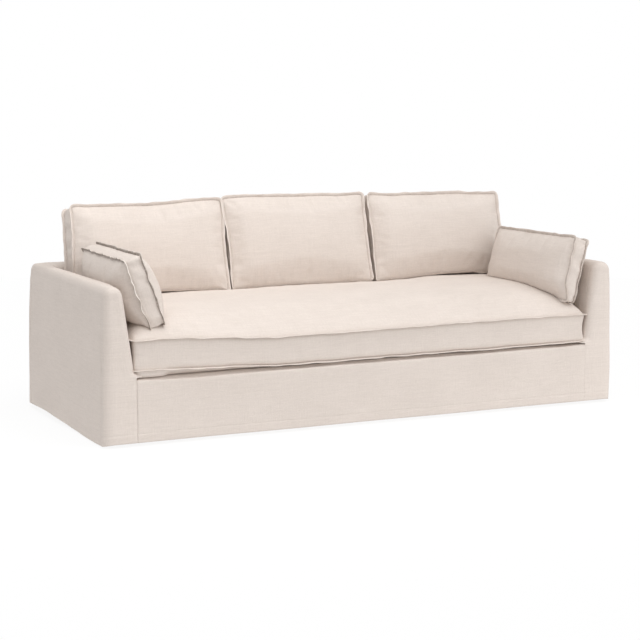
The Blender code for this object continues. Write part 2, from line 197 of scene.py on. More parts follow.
def makeLinen(name, seed, paintedLipStrength):
    # plain weave with uneven, slubbed threads both ways, drawn on the cloth's own map in metres
    material, shader, start = newMaterial(name)
    place = start.node("ShaderNodeUVMap", {"uv_map": "cloth"}, {})
    across = place.node("ShaderNodeSeparateXYZ", {}, {0: place}, 0)
    along = Wire(across.socket.node.outputs[1])

    def streaks(kind):
        onWeft, width, length, shift, detail = streakKinds[kind]
        first, second = (across, along) if onWeft else (along, across)
        vector = start.node("ShaderNodeCombineXYZ", {},
                            {0: first * (1 / length), 1: second * (1 / width), 2: shift + seed})
        return start.node("ShaderNodeTexNoise", {"noise_dimensions": "3D"},
                          {"Vector": vector, "Scale": 1.0, "Detail": detail, "Roughness": 0.6})

    weft, warp = streaks("weft"), streaks("warp")
    fine = streaks("fineWeft") + streaks("fineWarp")
    slubs = weft.between(*linen["slubWeft"]) + warp.between(*linen["slubWarp"])
    thins = weft.between(*linen["thinWeft"]) + warp.between(*linen["thinWarp"])
    tone = linen["tone"] + slubs * linen["toneSlub"] - thins * linen["toneSlub"]
    tone = tone + (fine - 1) * linen["toneFine"]
    for kind, share in (("fleck", "toneFleck"), ("broad", "toneBroad"), ("cloud", "toneCloud")):
        tone = tone + (streaks(kind) - 0.5) * linen[share]
    colour = tone.tint(linen["dark"], linen["light"])
    # painted light on the lips: a painted highlight along each lip's tip, and uneven painted shade at its
    # root beside the cushion
    if paintedLipStrength:
        onLip = along.between(linen["lipMap"] - 1, linen["lipMap"] - 0.9)
        onward = along - linen["lipMap"]
        rootEnd, rootGone, rootBack, rootFull = (steps * linen["lipStep"] for steps in linen["lipRoot"])
        root = 1 - onward.between(rootEnd, rootGone) + onward.between(rootBack, rootFull)
        tipStart, tipFull, tipEnd, tipGone = (steps * linen["lipStep"] for steps in linen["lipTip"])
        tip = onward.between(tipStart, tipFull) - onward.between(tipEnd, tipGone)
        ragged = streaks("ragged").between(*linen["ragged"])
        colour = (onLip * tip * paintedLipStrength).tint(colour, linen["paintedTipHighlight"])
        colour = (onLip * root * ragged * paintedLipStrength).tint(colour, linen["paintedRootShade"])
    pitch = math.pi / linen["thread"]
    threads = (across * pitch).sine() * (along * pitch).sine()
    relief = threads * linen["reliefThread"] + slubs * linen["reliefSlub"] + fine * linen["reliefFine"]
    bump = start.node("ShaderNodeBump", {},
                      {"Strength": linen["reliefShow"], "Distance": linen["relief"], "Height": relief})
    colour.feed(shader, "Base Color")
    bump.feed(shader, "Normal")
    (linen["roughness"] - slubs * linen["slubShine"]).feed(shader, "Roughness")
    shader.inputs["Sheen Weight"].default_value = linen["sheen"]
    shader.inputs["Sheen Roughness"].default_value = linen["sheenRough"]
    shader.inputs["Specular IOR Level"].default_value = linen["specular"]
    print("linen", name)
    return material


def addPiece(name, points, faces, corners, material):
    # a mesh with the cloth's own map in metres, which stands for the node of its name
    mesh = bpy.data.meshes.new(name)
    mesh.from_pydata([tuple(Vector(point) + toFrame) for point in points], [], faces)
    layer = mesh.uv_layers.new(name="cloth")
    layer.uv.foreach_set("vector", np.array(corners, dtype=np.float32).ravel())
    mesh.shade_smooth()
    mesh.materials.append(material)
    piece = bpy.data.objects.new(name, mesh)
    bpy.context.scene.collection.objects.link(piece)
    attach(piece, "root")
    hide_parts(name)
    return piece


def armInner(z):
    # how far in the arm's inner face is at a height
    return sofa["armBase"] - sofa["armSlope"] * max(z - sofa["deck"], 0)


# height of the side hems, by depth
sideHem = [
    (0, -0.003), (0.03, -0.008), (0.12, -0.008), (0.27, -0.007), (0.35, -0.004), (0.43, -0.003), (0.5, 0.001),
    (0.6, 0.005), (0.68, 0.009), (0.76, 0.012), (0.85, 0.011), (0.94, 0.0075), (1.06, 0.005),
]
# how far the outer sides belly out, by height; the left one grows towards the rear
leftBelly = [
    (0, 0.003), (0.2, 0.0045), (0.3, 0.003), (0.42, 0.0015), (0.49, -0.001), (0.565, -0.0035), (0.60, -0.009),
    (0.64, -0.0105),
]
rightBelly = [(0, 0.008), (0.15, 0.014), (0.45, 0.014), (0.56, 0.011), (0.64, 0.004)]
slouch = {"left": 0.004, "right": 0.014, "width": 0.09, "run": 0.12}    # the arms' tops fall outwards
waves = {"side": 0.0022, "sidePitch": 11, "end": 0.0020, "endPitch": 8.3, "fade": 1.5}


def slack(x, y, z):
    # loose waves that grow towards the hems, uneven hems and bellied sides
    loose = (1 - min(z / sofa["armHeight"], 1)) ** waves["fade"]
    side = 1 - ease(min(x, sofa["width"] - x) / sofa["turn"])
    end = 1 - ease(min(y, sofa["depth"] - y) / sofa["turn"])
    sideways = waves["side"] * side * math.sin(waves["sidePitch"] * y + x)
    endways = waves["end"] * end * math.sin(waves["endPitch"] * x + 1)
    outY = -1 if y < sofa["depth"] / 2 else 1
    if x < sofa["width"] / 2:
        outX, belly, fall = -1, between(z, leftBelly) * y / sofa["depth"], slouch["left"]
    else:
        outX, belly, fall = 1, between(z, rightBelly), slouch["right"]
    lift = between(y, sideHem) * side * loose
    nearOuter = max(1 - min(x, sofa["width"] - x) / slouch["width"], 0)
    lift -= fall * nearOuter * ease(1 - (sofa["armHeight"] - z) / slouch["run"])
    return Vector((x + outX * (sideways * loose + belly * side), y + outY * endways * loose, z + lift))


def roundOver(sideGap, faceGap, radius):
    # the edge between two faces, from a point's distances to them
    sideLack, faceLack = max(radius - sideGap, 0), max(radius - faceGap, 0)
    if sideLack == 0 or faceLack == 0:
        return sideGap, faceGap
    scale = radius / math.hypot(sideLack, faceLack)
    return radius - sideLack * scale, radius - faceLack * scale


def bendOutline(across, z, span, left, right, gap, shift):
    # the upper corners of an end panel, for a point that lies gap inside its outline and moves in by shift
    height = sofa["armHeight"]
    for corner, sign, start in ((left, -1, 0), (right, 1, span)):
        over = sign * (across - start) + corner
        up = z - height + corner
        if over > 0 and up > 0:
            scale = (corner - gap - shift) / math.hypot(over, up)
            return start + sign * (over * scale - corner), height - corner + up * scale
    if height - z <= min(across, span - across):
        return across, z - shift
    return across + (shift if across < span - across else -shift), z


def padPoint(across, inward, z, span, left, right, innerFree):
    # padded edges round an end panel, with none on its inner side where that isn't free
    innerGap = max(span - across, sofa["edge"] * (1 - innerFree))
    gap = min(across, innerGap, sofa["armHeight"] - z)
    newGap, inward = roundOver(gap, inward, sofa["edge"])
    across, z = bendOutline(across, z, span, left, right, gap, newGap - gap)
    return across, inward, z


# steps of the panels' meshes: fine near the ends, coarse between, and how far the fine one goes
grids = {
    "hem": (0.006, 0.012, 0.02),
    "wall": (0.012, 0.012, 0),
    "turn": (0.0045, 0.006, 0.05),
    "armAcross": (0.0045, 0.009, 0.03),
    "armUp": (0.0045, 0.012, 0.05),
    "armLong": (0.005, 0.014, 0.015),
    "insideUp": (0.006, 0.014, 0.012),
    "railUp": (0.004, 0.006, 1),
    "railLong": (0.005, 0.014, 0.012),
    "deck": (0.03, 0.05, 1),
    "insideBackUp": (0.014, 0.014, 0),
    "insideBackOver": (0.005, 0.006, 1),
    "insideBackLong": (0.003, 0.0065, 0.01),    # as shares of its length
    "outsideBackUp": (0.005, 0.014, 0.04),
    "outsideBackLong": (0.0045, 0.014, 0.035),
}


def graded(low, high, grid, lowEnd=True, highEnd=True):
    # places from low to high, close together near the ends that are asked for
    fine, coarse, reach = grids[grid]
    shortest = fine * 0.6
    places = [low]
    while places[-1] < high - shortest:
        lowGap = places[-1] - low if lowEnd else reach
        highGap = high - places[-1] if highEnd else reach
        near = min(lowGap, highGap)
        places.append(min(high, places[-1] + (fine if near < reach else coarse)))
    places[-1] = high
    return places


hem = {"height": 0.040, "half": 0.0022, "depth": 0.0009}    # the line of stitches over the hem


def aboveHem(high):
    # heights of a wall, close together at the hem and at the line of stitches over it
    line, half = hem["height"], hem["half"]
    below = graded(0, line - 2 * half, "hem", highEnd=False)
    return below + [line - half, line, line + half] + graded(line + 2 * half, high, "wall")


weldsPerMetre = 1e5     # corners that are nearer than this are one


def patchwork(patches, place):
    # quads of several rectangles of a square-edged block, welded where they meet and carried by place
    points, faces, corners, known = [], [], [], {}

    def pointAt(block):
        key = tuple(round(value * weldsPerMetre) for value in block)
        if key not in known:
            known[key] = len(points)
            points.append(place(*block))
        return known[key]

    for toBlock, us, vs, reverse in patches:
        for u0, u1 in zip(us, us[1:]):
            for v0, v1 in zip(vs, vs[1:]):
                ring = [(u0, v0), (u1, v0), (u1, v1), (u0, v1)]
                if reverse:
                    ring.reverse()
                faces.append([pointAt(toBlock(u, v)) for u, v in ring])
                corners.extend(ring)
    return points, faces, corners


panelCloth = {
    "hollow": 0.0022,       # soft hollows and the length of their waves
    "hollowWave": 0.23,
    "crinkle": 0.0006,
    "crinkleWave": 0.055,
    "rimShare": 0.4,        # share of them at a panel's edge
    "seamDepth": 0.0010,    # how far a seam is turned in, from this height up
    "seamFrom": 0.012,
    "railFlush": 0.04,      # how far the cloth is smooth beside the right arm's seam, and inside the arms
    "armFlush": 0.03,
    "flushShare": 0.1,      # a seam where less than this share is left isn't turned in
    "innerFace": 0.012,     # what lies this near to an arm's inner face is on it
}


def fromHiddenSeam(x, y, height):
    # 0 on the seams beside the right arm and inside the arms, which hardly show, and 1 well away from them
    if height < sofa["deck"]:
        return ease(abs(sofa["width"] - sofa["armBase"] - x) / panelCloth["railFlush"])
    away = abs(height - sofa["innerSeam"])
    if abs(min(x, sofa["width"] - x) - armInner(height)) < panelCloth["innerFace"]:
        away = min(away, abs(y - sofa["turn"]))
    return ease(away / panelCloth["armFlush"])


def addPanel(name, patches, place, material, sheet, mirrored=False):
    # one cut panel of the cover: soft hollows, seams turned in, then the cloth's thickness
    points, faces, corners = patchwork(patches, place)
    if mirrored:
        faces = [face[::-1] for face in faces]
        rings = [corners[start:start + 4] for start in range(0, len(corners), 4)]
        corners = [corner for ring in rings for corner in ring[::-1]]
    piece = addPiece(name, points, faces, corners, material)
    edges = {}
    for face in faces:
        for a, b in zip(face, face[1:] + face[:1]):
            edges[min(a, b), max(a, b)] = edges.get((min(a, b), max(a, b)), 0) + 1
    rim = {index for edge, count in edges.items() if count == 1 for index in edge}
    normals = [vertex.normal.copy() for vertex in piece.data.vertices]
    for vertex, normal in zip(piece.data.vertices, normals):
        x, y, height = (value - shift for value, shift in zip(vertex.co, toFrame))
        hollow = sheet["hollow"] * wander(vertex.co, sheet["seed"], sheet["hollowWave"])
        crinkle = sheet["crinkle"] * wander(vertex.co, sheet["seed"] + 5, sheet["crinkleWave"])
        away = fromHiddenSeam(x, y, height)
        onRim = vertex.index in rim
        move = (hollow + crinkle) * (sheet["rimShare"] if onRim else 1) * away
        if onRim and height > sheet["seamFrom"] and away > sheet["flushShare"]:
            move -= sheet["seamDepth"]
        stitches = slack(0, y, hem["height"]).z
        if abs(height - stitches) < hem["half"] / 2:
            move -= hem["depth"]
        vertex.co += normal * move
    solid = piece.modifiers.new("cloth", "SOLIDIFY")
    solid.thickness = sofa["cloth"]
    solid.offset = -1
    solid.use_even_offset = True
    sheet.get("area")
    print("panel", name, len(faces), "faces")
    return piece


armPanels = {
    "front": {"flat": (0.24, 0.72), "area": 0.155, "seeds": {"left": 1, "right": 3}},
    "outside": {"flat": (0.97, 0.83), "seeds": {"left": 11, "right": 13}},
    "inside": {"flat": (0.95, 0.36), "seeds": {"left": 21, "right": 23}},
}
armShape = {
    "cornerRun": 0.1,       # over this depth the front's wide corner becomes the narrow one
    "cornerEnd": 0.04,      # which ends over this one before the back
    "cornerLeast": 0.0001,
    "freeRun": 0.03,        # the inner edge becomes free over this height above the deck
    "seamGap": 0.002,       # least step from the inner seam to the next row
    "backGap": 0.004,       # and from the last column to the back
    "backClear": 0.0005,
}


def armSheet(kind, side):
    return dict(panelCloth, **armPanels[kind], seed=armPanels[kind]["seeds"][side])


def armCorner(y):
    radius = mix(sofa["frontCorner"], sofa["innerCorner"], ease((y - sofa["edge"]) / armShape["cornerRun"]))
    return radius * ease((sofa["backFace"] - y) / armShape["cornerEnd"]) + armShape["cornerLeast"]


def armPlace(side):
    def place(across, y, z):
        free = ease((z - sofa["deck"]) / armShape["freeRun"])
        across, y, z = padPoint(across, y, z, armSpan, sofa["outerCorner"], armCorner(y), free)
        outer = sofa["flare"] * z / sofa["armHeight"]
        x = mix(outer, armInner(z), across / armSpan)
        return slack(x if side == "left" else sofa["width"] - x, y, z)

    return place


def makeArm(side, material):
    height, deck, turn, seam = sofa["armHeight"], sofa["deck"], sofa["turn"], sofa["innerSeam"]
    mirrored, place = side == "right", armPlace(side)
    acrossPlaces = graded(0, armSpan, "armAcross")
    if mirrored:
        acrossPlaces.insert(-1, armSpan - sofa["flush"])
    upperPlaces = graded(deck, height, "armUp")
    allHeights = aboveHem(deck) + upperPlaces[1:]
    turnPlaces = graded(0, turn, "turn")
    front = [
        (lambda s, z: (s, 0, z), acrossPlaces, allHeights, False),
        (lambda y, z: (0, y, z), turnPlaces, allHeights, True),
        (lambda y, z: (armSpan, y, z), turnPlaces, upperPlaces, False),
        (lambda s, y: (s, y, height), acrossPlaces, turnPlaces, False),
    ]
    addPanel("arm_front_" + side, front, place, material, armSheet("front", side), mirrored)

    longPlaces = graded(turn, sofa["depth"] - turn, "armLong")
    besideSeat = [y for y in longPlaces if y < sofa["backFace"] + sofa["edge"]]
    seamHeights = [seam, seam + sofa["flush"]] + [z for z in upperPlaces if z > seam + armShape["seamGap"]]
    outside = [
        (lambda y, z: (0, y, z), longPlaces, allHeights, True),
        (lambda s, y: (s, y, height), acrossPlaces, longPlaces, False),
        (lambda y, z: (armSpan, y, z), besideSeat, seamHeights, False),
    ]
    addPanel("outside_arm_" + side, outside, place, material, armSheet("outside", side), mirrored)

    insideLong = [y for y in longPlaces if y < sofa["backFace"] - armShape["backGap"]]
    insideLong.append(sofa["backFace"] - armShape["backClear"])
    insideHeights = graded(deck, seam, "insideUp")
    insideHeights.insert(-1, seam - sofa["flush"])
    inside = [(lambda y, z: (armSpan, y, z), insideLong, insideHeights, False)]
    addPanel("inside_arm_" + side, inside, place, material, armSheet("inside", side), mirrored)


def overEdge(v, foot, top, radius):
    # depth and height of a place on cloth that goes up a face, round its edge and back
    straight, arc = top - foot - radius, radius * math.pi / 2
    if v < straight:
        return 0, foot + v
    if v < straight + arc:
        turned = (v - straight) / radius
        return radius * (1 - math.cos(turned)), top - radius * (1 - math.sin(turned))
    return radius + v - straight - arc, top


def overLengths(foot, top, radius, back):
    # such cloth's length up to its edge, and in all
    straight = top - foot - radius
    return straight, straight + radius * math.pi / 2 + back - radius


railPanel = {
    "flat": (2.19, 0.335),
    "seed": 31,
    "sagFrom": 0.15,        # the sag starts at this height and is full that much higher
    "sagRise": 0.1,
    "sagBack": 0.028,       # and is gone this far behind the edge
    "tuckRun": 0.02,        # over this length the right end goes under the arm's panel, by this much
    "tuckRight": 0.0012,
    "tuckBack": 0.0003,
}
# how far the rail's upper edge sags in front of the cushion
railSag = [
    (0.12, 0.003), (0.25, 0.008), (0.42, 0.011), (0.86, 0.008), (1.40, 0.008), (2.00, 0.005), (2.20, 0.004),
    (2.31, 0.002),
]


def makeRail(material):
    edge, deck, radius = sofa["armBase"], sofa["deck"], sofa["railEdge"]
    length = sofa["width"] - 2 * edge
    straight, total = overLengths(0, deck, radius, sofa["turn"])

    def place(x, v, unused):
        y, z = overEdge(v, 0, deck, radius)
        under = ease((x - length) / railPanel["tuckRun"] + 1)
        if z > railPanel["sagFrom"]:
            rise = ease((z - railPanel["sagFrom"]) / railPanel["sagRise"])
            behind = ease((y - radius) / railPanel["sagBack"])
            z -= between(edge + x, railSag) * rise * (1 - behind)
        return slack(edge + x + railPanel["tuckRight"] * under, y + railPanel["tuckBack"] * under, z)

    ups = aboveHem(straight) + graded(straight, total, "railUp")[1:]
    longPlaces = graded(0, length, "railLong")
    longPlaces.insert(-1, length - sofa["flush"])
    patches = [(lambda x, v: (x, v, 0), longPlaces, ups, False)]
    addPanel("front_rail", patches, place, material, dict(panelCloth, **railPanel))


deckPanel = {"flat": (2.2, 0.91), "seed": 41, "hollow": 0, "crinkle": 0.0003, "seamDepth": 0, "below": 0.0003}


def makeDeck(material):
    edge, level = sofa["armBase"], sofa["deck"] - deckPanel["below"]
    longPlaces = graded(0, sofa["width"] - 2 * edge, "deck")
    backPlaces = graded(sofa["turn"], sofa["backFace"], "deck")
    patches = [(lambda x, y: (x, y, 0), longPlaces, backPlaces, False)]
    addPanel("seat_deck", patches, lambda x, y, z: Vector((edge + x, y, level)), material,
             dict(panelCloth, **deckPanel))


insideBackPanel = {"flat": (2.3, 0.48), "seed": 51}


def makeInsideBack(material):
    deck, height, radius, face = sofa["deck"], sofa["armHeight"], sofa["edge"], sofa["backFace"]
    straight, total = overLengths(deck, height, radius, sofa["depth"] - sofa["turn"] - face)

    def place(share, v, unused):
        y, z = overEdge(v, deck, height, radius)
        inner = armInner(z)
        return Vector((mix(inner, sofa["width"] - inner, share), face + y, z))

    ups = graded(0, straight, "insideBackUp") + graded(straight, total, "insideBackOver")[1:]
    patches = [(lambda share, v: (share, v, 0), graded(0, 1, "insideBackLong"), ups, False)]
    piece = addPanel("inside_back", patches, place, material, dict(panelCloth, **insideBackPanel))
    stretch = sofa["width"] - 2 * sofa["armBase"]       # its map is in shares until here
    for loop in piece.data.uv_layers["cloth"].uv:
        loop.vector = (loop.vector.x * stretch, loop.vector.y)


outsideBackPanel = {"flat": (2.53, 0.69), "seed": 61, "fineTop": 0.06}      # the top part has finer rows


def makeOutsideBack(material):
    width, height, depth, turn = sofa["width"], sofa["armHeight"], sofa["depth"], sofa["turn"]
    corner, fineFrom = sofa["outerCorner"], height - outsideBackPanel["fineTop"]

    def place(across, inward, z):
        across, inward, z = padPoint(across, inward, z, width, corner, corner, 1)
        outer = sofa["flare"] * z / height
        return slack(mix(outer, width - outer, across / width), depth - inward, z)

    heights = aboveHem(fineFrom) + graded(fineFrom, height, "outsideBackUp", lowEnd=False)[1:]
    acrossPlaces = graded(0, width, "outsideBackLong")
    turnPlaces = graded(0, turn, "turn")
    patches = [
        (lambda s, z: (s, 0, z), acrossPlaces, heights, True),
        (lambda y, z: (0, y, z), turnPlaces, heights, False),
        (lambda y, z: (width, y, z), turnPlaces, heights, True),
        (lambda s, y: (s, y, height), acrossPlaces, turnPlaces, True),
    ]
    addPanel("outside_back", patches, place, material, dict(panelCloth, **outsideBackPanel))


def planPoint(x, y, style):
    # rounded corners and drawn-in sides of a cushion's outline
    halfLength, halfWidth, corner = style["length"] / 2, style["width"] / 2, style["corner"]
    overX, overY = abs(x) - halfLength + corner, abs(y) - halfWidth + corner
    newX, newY = x, y
    if overX > 0 and overY > 0:
        scale = max(overX, overY) / math.hypot(overX, overY)
        newX = math.copysign(halfLength - corner + overX * scale, x)
        newY = math.copysign(halfWidth - corner + overY * scale, y)
    across, along = x / halfLength, y / halfWidth
    newX -= style["drawIn"] * across ** 3 * (1 - along * along)
    newY -= style["drawIn"] * along ** 3 * (1 - across * across)
    return newX, newY


def fullness(x, y, above, style):
    # how far the filling lifts a face at a place, from 0 on its seams to 1
    across, along = abs(x) / (style["length"] / 2), y / (style["width"] / 2)
    front = along < 0
    power = style["fullY"] if front else style["rearFullY"]
    if not above:
        power = style.get("underFull", power)
    frontX = style["fullX"] if x > 0 else style.get("leftFullX", style["fullX"])
    powerX = mix(frontX, style["rearFullX"], ease((along + 1) / 2))
    taper = mix(1, style.get("frontShare" if front else "rearShare", 1), ease(abs(along)))
    return taper * max(0, (1 - across ** powerX) * (1 - abs(along) ** power)) ** style["swell"]


creaseEnd = {"run": 0.25, "past": 0.2}      # as shares of a crease's length


def crease(x, y, rows):
    # soft troughs, placed one by one: start, end, depth, half width
    run, past = creaseEnd["run"], creaseEnd["past"]
    total = 0
    for x0, y0, x1, y1, depth, half in rows:
        length = math.hypot(x1 - x0, y1 - y0)
        share = ((x - x0) * (x1 - x0) + (y - y0) * (y1 - y0)) / length ** 2
        if -past < share < 1 + past:
            aside = ((x - x0) * (y1 - y0) - (y - y0) * (x1 - x0)) / length
            fade = ease((share + past) / run) * ease((1 - share + past) / run)
            total -= depth * fade * math.exp(-(aside / half) ** 2)
    return total


def cushionShape(style):
    # points, faces and map corners of a boxed cushion lying flat, with its two seam loops
    length, width, band, cell = style["length"], style["width"], style["band"], style["cell"]
    countX, countY, countZ = round(length / cell), round(width / cell), max(4, round(band / cell))
    points, faces, corners, kinds, rows = [], [], [], [], {}
    for level, rise in ((1, style["crown"]), (-1, -style["underCrown"])):
        for j in range(countY + 1):
            for i in range(countX + 1):
                x, y = length * (i / countX - 0.5), width * (j / countY - 0.5)
                newX, newY = planPoint(x, y, style)
                rows[level, i, j] = len(points)
                lift = rise * fullness(x, y, level > 0, style)
                points.append(Vector((newX, newY, level * band / 2 + lift)))
                kinds.append((level, x, y))
    rim = [(i, 0) for i in range(countX)] + [(countX, j) for j in range(countY)]
    rim += [(i, countY) for i in range(countX, 0, -1)] + [(0, j) for j in range(countY, 0, -1)]
    for level in (1, -1):
        for j in range(countY):
            for i in range(countX):
                ring = [(i, j), (i + 1, j), (i + 1, j + 1), (i, j + 1)]
                if level < 0:
                    ring.reverse()
                faces.append([rows[level, a, b] for a, b in ring])
                corners.extend((a * length / countX, b * width / countY) for a, b in ring)
    loops = {level: [rows[level, i, j] for i, j in rim] for level in (1, -1)}
    levels = [loops[-1]]
    for k in range(1, countZ):
        share = k / countZ
        swell = math.sin(math.pi * share)
        ring = []
        for low, high, (i, j) in zip(loops[-1], loops[1], rim):
            point = points[low].lerp(points[high], share)
            point.x += swell * style.get("endBulge", style["bandBulge"]) * ((i == countX) - (i == 0))
            point.y += swell * style["bandBulge"] * ((j == countY) - (j == 0))
            ring.append(len(points))
            points.append(point)
            kinds.append((0, point.x, point.y))
        levels.append(ring)
    levels.append(loops[1])
    for k, (low, high) in enumerate(zip(levels, levels[1:])):
        foot, top = k * band / countZ, (k + 1) * band / countZ
        for a in range(len(rim)):
            b = (a + 1) % len(rim)
            near, far = a * cell, (a + 1) * cell
            faces.append([low[a], low[b], high[b], high[a]])
            corners.extend([(near, foot), (far, foot), (far, top), (near, top)])
    return points, faces, corners, kinds, loops


caseCloth = {
    "vertex_group_mass": "seams",       # pinned
    "use_pressure": True,
    "quality": 5,
    "tension_stiffness": 15,
    "compression_stiffness": 15,
    "shear_stiffness": 5,
}
fillSteps = 20


def fillOut(points, faces, kinds, loops, style):
    # the filling's pressure swells the case between its seams, which hold it
    mesh = bpy.data.meshes.new("filling")
    mesh.from_pydata([tuple(point) for point in points], [], faces)
    piece = bpy.data.objects.new("filling", mesh)
    bpy.context.scene.collection.objects.link(piece)
    seams = piece.vertex_groups.new(name="seams")
    seams.add(loops[1] + loops[-1], 1.0, "REPLACE")
    settings = piece.modifiers.new("filling", "CLOTH").settings
    for key, value in caseCloth.items():
        setattr(settings, key, value)
    settings.uniform_pressure_force = style["pressure"]
    settings.effector_weights.gravity = 0
    settings.mass = style["mass"]
    settings.bending_stiffness = style["stiffness"]
    settings.shrink_min = -style["ease"]
    settings.shrink_max = -style["ease"]
    for step in range(1, fillSteps + 1):
        bpy.context.scene.frame_set(step)
    swollen = piece.evaluated_get(bpy.context.evaluated_depsgraph_get()).data
    result, furthest = [], 0
    for point, vertex, kind in zip(points, swollen.vertices, kinds):
        move = vertex.co - point
        furthest = max(furthest, move.length)
        cap = style["cap"] if kind[0] else style["bandCap"]
        if move.length > cap:
            move *= cap / move.length
        result.append(point + move)
    bpy.data.objects.remove(piece, do_unlink=True)
    bpy.context.scene.frame_set(1)
    print("filled, furthest move", round(furthest, 4))
    return result


def softNormals(points, faces):
    normals = [Vector() for _ in points]
    for face in faces:
        a, b, c, d = (points[index] for index in face)
        normal = (c - a).cross(d - b)
        for index in face:
            normals[index] += normal
    return [normal.normalized() for normal in normals]


# a lip's outline in shares of its width and half thickness, from its root out and back
lipOutline = [
    (-0.25, 1), (0.25, 1), (0.75, 0.85), (1.0, 0.45), (1.0, -0.45), (0.75, -0.85), (0.25, -1), (-0.25, -1),
]
lipShape = {
    "ragged": 0.25,         # unevenness of its width
    "raggedWave": 0.03,
    "curlPower": 1.5,       # how late the curl sets in
    "tuckGain": 1.6,        # how fast the lean changes round the front corners
    "tuckFrom": 0.6,
}


def addLip(points, faces, corners, loop, level, style, outward):
    # a pinched lip of two layers, stitched all along a seam and left wavy
    count, width, half = len(loop), style["lip"], style["lipHalf"]
    size, start, seed = len(lipOutline), len(points), style["seed"] + level
    path = [points[index].copy() for index in loop]
    for a, here in enumerate(path):
        along = (path[(a + 1) % count] - path[a - 1]).normalized()
        out = (outward[a] - along * outward[a].dot(along)).normalized()
        up = along.cross(out).normalized()
        if up.z * level < 0:
            up = -up
        lean = style["lipLean"]
        if level > 0 and out.y < 0:     # along the front the upper lip leans another way
            lean = mix(lean, style["tuck"], ease(-out.y * lipShape["tuckGain"] - lipShape["tuckFrom"]))
        reach = (out * math.cos(lean) + up * math.sin(lean)).normalized()
        flat = along.cross(reach).normalized()
        curl = style["lipWave"] * wander(here, seed, style["lipRipple"]) * 2
        ragged = width * (1 + lipShape["ragged"] * wander(here, seed + 3, lipShape["raggedWave"]))
        ragged *= mix(1, style.get("endLip", 1), ease(abs(out.x) * 2 - 1))
        for share, thick in lipOutline:
            aside = thick * half + curl * max(share, 0) ** lipShape["curlPower"]
            points.append(here + reach * share * ragged + flat * aside)
    around = 0
    for a in range(count):
        b = (a + 1) % count
        pitch = (path[b] - path[a]).length
        for k in range(size):
            m = (k + 1) % size
            ring = [start + a * size + k, start + b * size + k, start + b * size + m, start + a * size + m]
            near, far = (k, k + 1) if level < 0 else (size - k, size - k - 1)   # counted from the face's side
            places = [(around, near), (around + pitch, near), (around + pitch, far), (around, far)]
            if level > 0:
                ring.reverse()
                places.reverse()
            faces.append(ring)
            corners.extend((u, linen["lipMap"] + v * linen["lipStep"]) for u, v in places)
        around += pitch


wrinkles = {
    "along": 0.3,           # puckers are this much slower along their run than across it
    "start": 0.01,          # and start this far from the seam
    "endShare": 2,          # the band is looser by its ends
    "endReach": 0.05,
    "hollowWave": 0.17,
    "crinkleWave": 0.045,
    "apart": 0.1,           # between the two faces, so that they differ
}


def wrinkled(points, kinds, loops, faces, style):
    # puckers that fade from the seams, broad hollows, and the listed creases
    normals = softNormals(points, faces)
    seed, reach, step, along = style["seed"], style["puckerReach"], style["puckerStep"], wrinkles["along"]
    onSeam = set(loops[1] + loops[-1])
    result = []
    for index, (level, x, y) in enumerate(kinds):
        fromX, fromY = style["length"] / 2 - abs(x), style["width"] / 2 - abs(y)
        if level:
            pucker = math.exp(-fromX / reach) * wander((x * along, y, level), seed, step)
            pucker += math.exp(-fromY / reach) * wander((x, y * along, level), seed + 2, step)
            move = style["pucker"] * pucker * min(1, min(fromX, fromY) / wrinkles["start"])
        else:
            ends = 1 + wrinkles["endShare"] * math.exp(-max(fromX, 0) / wrinkles["endReach"])
            move = style["bandPucker"] * ends * wander((x, y, along * points[index].z), seed + 4, step)
        spot = (x, y, level * wrinkles["apart"])
        move += style["hollow"] * wander(spot, seed + 6, wrinkles["hollowWave"])
        move += style["crinkle"] * wander(spot, seed + 8, wrinkles["crinkleWave"])
        if level:
            move += crease(x, y, style.get("creases" if level > 0 else "underCreases", []))
        result.append(points[index] + normals[index] * (0 if index in onSeam else move))
    return result, normals


def makeCushion(name, style, place, material, settle):
    # the case is filled, wrinkled and lipped lying flat, then put in place and settled on its neighbours
    points, faces, corners, kinds, loops = cushionShape(style)
    points = fillOut(points, faces, kinds, loops, style)
    points, normals = wrinkled(points, kinds, loops, faces, style)
    for level, loop in ((1, loops[1]), (-1, loops[-1])):
        outward = [Vector((normals[index].x, normals[index].y, 0)).normalized() for index in loop]
        for index in loop:
            seed = style["seed"] + 9 * level
            wave = style["seamWave"] * wander(points[index], seed, style["seamRipple"]) * 2
            points[index] = points[index] + Vector((0, 0, wave))
        addLip(points, faces, corners, loop, level, style, outward)
    points = settle([place @ point for point in points], len(kinds))
    piece = addPiece(name, points, faces, corners, material)
    smooth = piece.modifiers.new("smooth", "SUBSURF")
    smooth.levels = smooth.render_levels = 1
    print("cushion", name, len(faces), "faces")
    return BVHTree.FromPolygons(points, faces)


